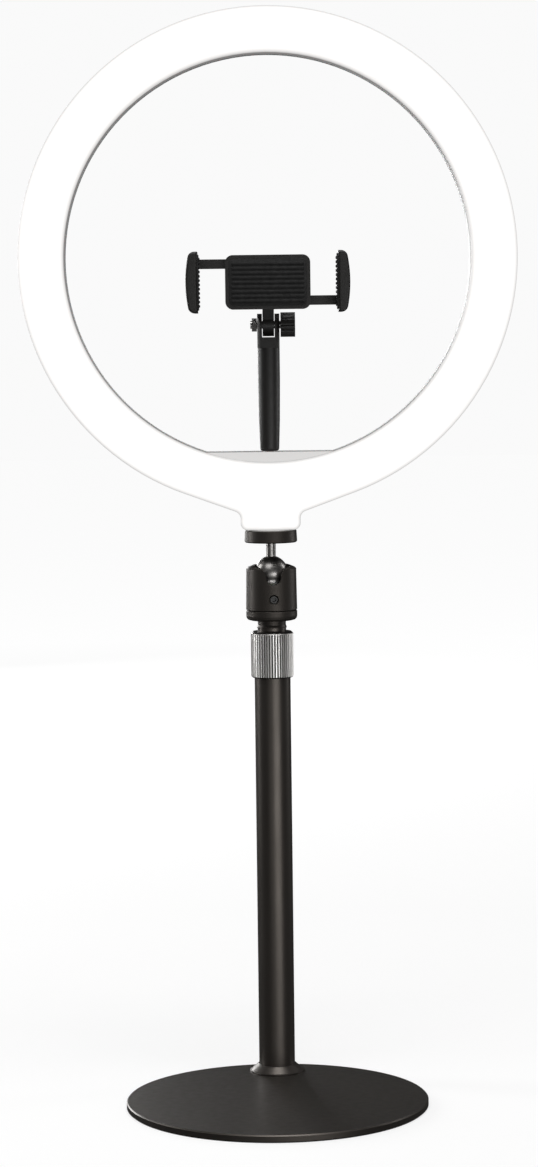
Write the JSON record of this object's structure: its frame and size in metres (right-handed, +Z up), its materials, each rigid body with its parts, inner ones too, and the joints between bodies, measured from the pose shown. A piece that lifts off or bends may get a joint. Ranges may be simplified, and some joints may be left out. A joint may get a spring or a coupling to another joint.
{
  "type": "ring light",
  "caption": "Table ring light: round weighted base, telescopic pole with knurled lock collar, ball head, opal ring with flat-bottomed hole and a jawed phone holder inside it.",
  "frame": {"origin": "centre of the base disc's underside, on the surface that it stands on", "axes": "+Z up the pole; the light faces -Y; +X is to the right for a person in front of it"},
  "size_m": [0.26, 0.1615, 0.5645],
  "materials": {
    "powder_black": "satin powder coat",
    "anodised_black": "fine satin black",
    "knurled_metal": "ribbed, bright",
    "zinc_steel": "zinc plated",
    "black_screw": "black oxide",
    "raw_aluminium": "turned",
    "dark_chrome": "polished",
    "brass": "turned",
    "rubber": "matte",
    "pale_pad": "matte",
    "nylon": "natural",
    "black_plastic": "fine grain",
    "opal": "opal diffuser, lit",
    "white_plastic": "fine grain",
    "button_grey": "satin",
    "board_white": "solder mask",
    "board_green": "solder mask",
    "led_yellow": "phosphor",
    "chip_black": "moulded"
  },
  "bodies": {
    "stand": {"base_plate": "powder_black", "anti_slip_pad": "rubber", "base_bolt": "zinc_steel", "foot_plug": "raw_aluminium", "foot_collar": "powder_black", "outer_tube": "powder_black", "tube_ferrule": "raw_aluminium", "split_bush": "nylon"},
    "lock_collar": {"lock_collar": "knurled_metal"},
    "mast": {"inner_tube": "powder_black", "tube_guide": "nylon", "mast_top_plug": "anodised_black", "head_stud": "zinc_steel", "pan_base": "anodised_black", "pan_retainer": "zinc_steel"},
    "head": {"ball_housing": "anodised_black", "pan_cap": "nylon", "seat_carrier": "raw_aluminium", "housing_set_screw": "black_screw", "brake_shoe": "brass"},
    "ball_knob": {"ball_lock_knob": "black_plastic", "knob_stud": "zinc_steel"},
    "seat": {"ball_seat": "nylon"},
    "light": {"ball_stem": "dark_chrome", "platform_disc": "anodised_black", "platform_pad": "pale_pad", "diffuser": "opal", "rear_cover": "white_plastic", "led_board": "board_white", "leds": "led_yellow", "driver_board": "board_green", "driver_parts": "chip_black", "board_pins": "brass", "tact_switches": "chip_black", "usb_socket": "zinc_steel", "cover_screws": "zinc_steel", "bottom_insert": "brass", "top_insert": "brass"},
    "power_button": {"power_button": "button_grey"},
    "mode_button": {"mode_button": "button_grey"},
    "minus_button": {"minus_button": "button_grey"},
    "plus_button": {"plus_button": "button_grey"},
    "stalk": {"stalk": "black_plastic", "stalk_stud": "zinc_steel", "tilt_nut": "zinc_steel"},
    "tilt_knob": {"tilt_knob": "black_plastic", "tilt_bolt": "zinc_steel"},
    "knuckle": {"tilt_knuckle": "black_plastic", "swivel_screw": "zinc_steel"},
    "clip": {"clip_front_plate": "black_plastic", "clip_rear_cover": "black_plastic", "clip_face_pad": "rubber", "clip_screws": "zinc_steel", "rack_brakes": "zinc_steel"},
    "left_jaw": {"left_jaw": "black_plastic", "left_jaw_pad": "rubber"},
    "right_jaw": {"right_jaw": "black_plastic", "right_jaw_pad": "rubber"},
    "pinion": {"pinion": "nylon"}
  },
  "joints": [
    {"name": "lock_collar_turn", "type": "hinge", "parent": "stand", "child": "lock_collar", "pos_m": [0, 0.0615, 0.227], "axis": [0, 0, 1], "range_deg": [0, 180]},
    {"name": "mast_slide", "type": "slide", "parent": "stand", "child": "mast", "axis": [0, 0, 1], "range_m": [0, 0.158]},
    {"name": "head_pan", "type": "hinge", "parent": "mast", "child": "head", "pos_m": [0, 0.0615, 0.252], "axis": [0, 0, 1], "continuous": true},
    {"name": "ball_knob_turn", "type": "hinge", "parent": "head", "child": "ball_knob", "pos_m": [0, 0.0615, 0.266], "axis": [-0.0976, 0.9952, 0], "range_deg": [0, 270]},
    {"name": "ball_roll", "type": "hinge", "parent": "head", "child": "seat", "pos_m": [0, 0.0615, 0.2702], "axis": [-0.0976, 0.9952, 0], "range_deg": [-30, 30]},
    {"name": "ball_tilt", "type": "hinge", "parent": "seat", "child": "light", "pos_m": [0, 0.0615, 0.2702], "axis": [0.9952, 0.0976, 0], "range_deg": [-30, 90]},
    {"name": "power_button_press", "type": "slide", "parent": "light", "child": "power_button", "axis": [0, -1, 0], "range_m": [0, 0.0008], "stiffness_N_per_m": 400, "springref_m": -0.002},
    {"name": "mode_button_press", "type": "slide", "parent": "light", "child": "mode_button", "axis": [0, -1, 0], "range_m": [0, 0.0008], "stiffness_N_per_m": 400, "springref_m": -0.002},
    {"name": "minus_button_press", "type": "slide", "parent": "light", "child": "minus_button", "axis": [0, -1, 0], "range_m": [0, 0.0008], "stiffness_N_per_m": 400, "springref_m": -0.002},
    {"name": "plus_button_press", "type": "slide", "parent": "light", "child": "plus_button", "axis": [0, -1, 0], "range_m": [0, 0.0008], "stiffness_N_per_m": 400, "springref_m": -0.002},
    {"name": "stalk_swivel", "type": "hinge", "parent": "light", "child": "stalk", "pos_m": [0, 0.0615, 0.334], "axis": [0, 0, 1], "range_deg": [-90, 90]},
    {"name": "tilt_knob_turn", "type": "hinge", "parent": "stalk", "child": "tilt_knob", "pos_m": [0, 0.0615, 0.4], "axis": [1, 0, 0], "range_deg": [0, 270]},
    {"name": "holder_tilt", "type": "hinge", "parent": "stalk", "child": "knuckle", "pos_m": [0, 0.0615, 0.4], "axis": [-1, 0, 0], "range_deg": [-30, 30]},
    {"name": "clip_turn", "type": "hinge", "parent": "knuckle", "child": "clip", "pos_m": [0, 0.05, 0.422], "axis": [0, 1, 0], "range_deg": [0, 90]},
    {"name": "left_jaw_slide", "type": "slide", "parent": "clip", "child": "left_jaw", "axis": [-1, 0, 0], "range_m": [-0.008, 0.01]},
    {"name": "right_jaw_slide", "type": "slide", "parent": "clip", "child": "right_jaw", "axis": [1, 0, 0], "range_m": [-0.008, 0.01]},
    {"name": "pinion_turn", "type": "hinge", "parent": "clip", "child": "pinion", "pos_m": [0, 0.0435, 0.422], "axis": [0, 1, 0], "range_deg": [-100, 100]}
  ],
  "couplings": [
    {"joint": "right_jaw_slide", "follows": "left_jaw_slide", "ratio": 1},
    {"joint": "pinion_turn", "follows": "left_jaw_slide", "rad_per_m": -166.67}
  ]
}
